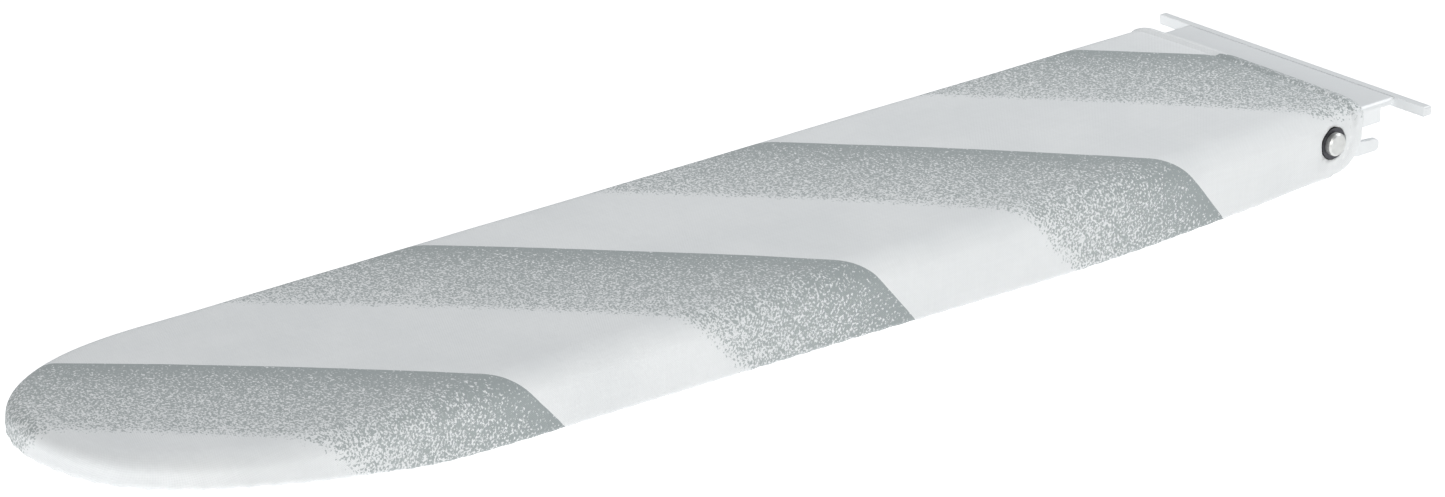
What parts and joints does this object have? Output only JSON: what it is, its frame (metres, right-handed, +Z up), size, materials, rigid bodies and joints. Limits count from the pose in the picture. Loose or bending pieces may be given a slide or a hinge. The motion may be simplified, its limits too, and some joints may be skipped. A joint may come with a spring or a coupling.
{
  "type": "sleeve ironing board",
  "caption": "Narrow padded sleeve ironing board with a printed cover, hinged by a cross pin to a sheet-metal bracket with rear slots and a cross bar.",
  "frame": {"origin": "middle of the bracket plate's flat underside, the seat face that lies on the carrying frame", "axes": "+Y along the board towards the bracket's rear and cross bar, the nose is at -Y; +X along the hinge pin; +Z up, out of the ironing surface"},
  "size_m": [0.1278, 0.5388, 0.0267],
  "materials": {
    "bracket_paint": "satin light grey enamel",
    "pan_paint": "satin light grey enamel",
    "pin_steel": "ground bright steel",
    "ring_steel": "blackened spring steel",
    "zinc_steel": "zinc plated",
    "bush_plastic": "natural nylon",
    "felt": "pressed white felt",
    "cover_print": "woven cotton with a speckled grey diagonal print",
    "hem_cloth": "folded and stitched woven cotton",
    "elastic_cord": "woven elastic"
  },
  "bodies": {
    "bracket": {"bracket_plate": "bracket_paint", "cross_bar": "bracket_paint", "hinge_pin": "pin_steel", "spacer_tube": "zinc_steel", "snap_ring_left": "ring_steel", "snap_ring_right": "ring_steel", "friction_washer_left": "bush_plastic", "friction_washer_right": "bush_plastic"},
    "board": {"board_pan": "pan_paint", "hinge_cheek_left": "zinc_steel", "hinge_cheek_right": "zinc_steel", "cheek_rivets_left": "zinc_steel", "cheek_rivets_right": "zinc_steel", "pin_bush_left": "bush_plastic", "pin_bush_right": "bush_plastic", "rear_cross_channel": "zinc_steel", "channel_rivets": "zinc_steel", "felt_pad": "felt", "rear_hem": "hem_cloth", "cover": "cover_print", "lower_hem": "hem_cloth", "hem_elastic": "elastic_cord"}
  },
  "joints": [
    {"name": "board_fold", "type": "hinge", "parent": "bracket", "child": "board", "pos_m": [0, -0.0221, -0.0047], "axis": [1, 0, 0], "range_deg": [0, 90]}
  ]
}
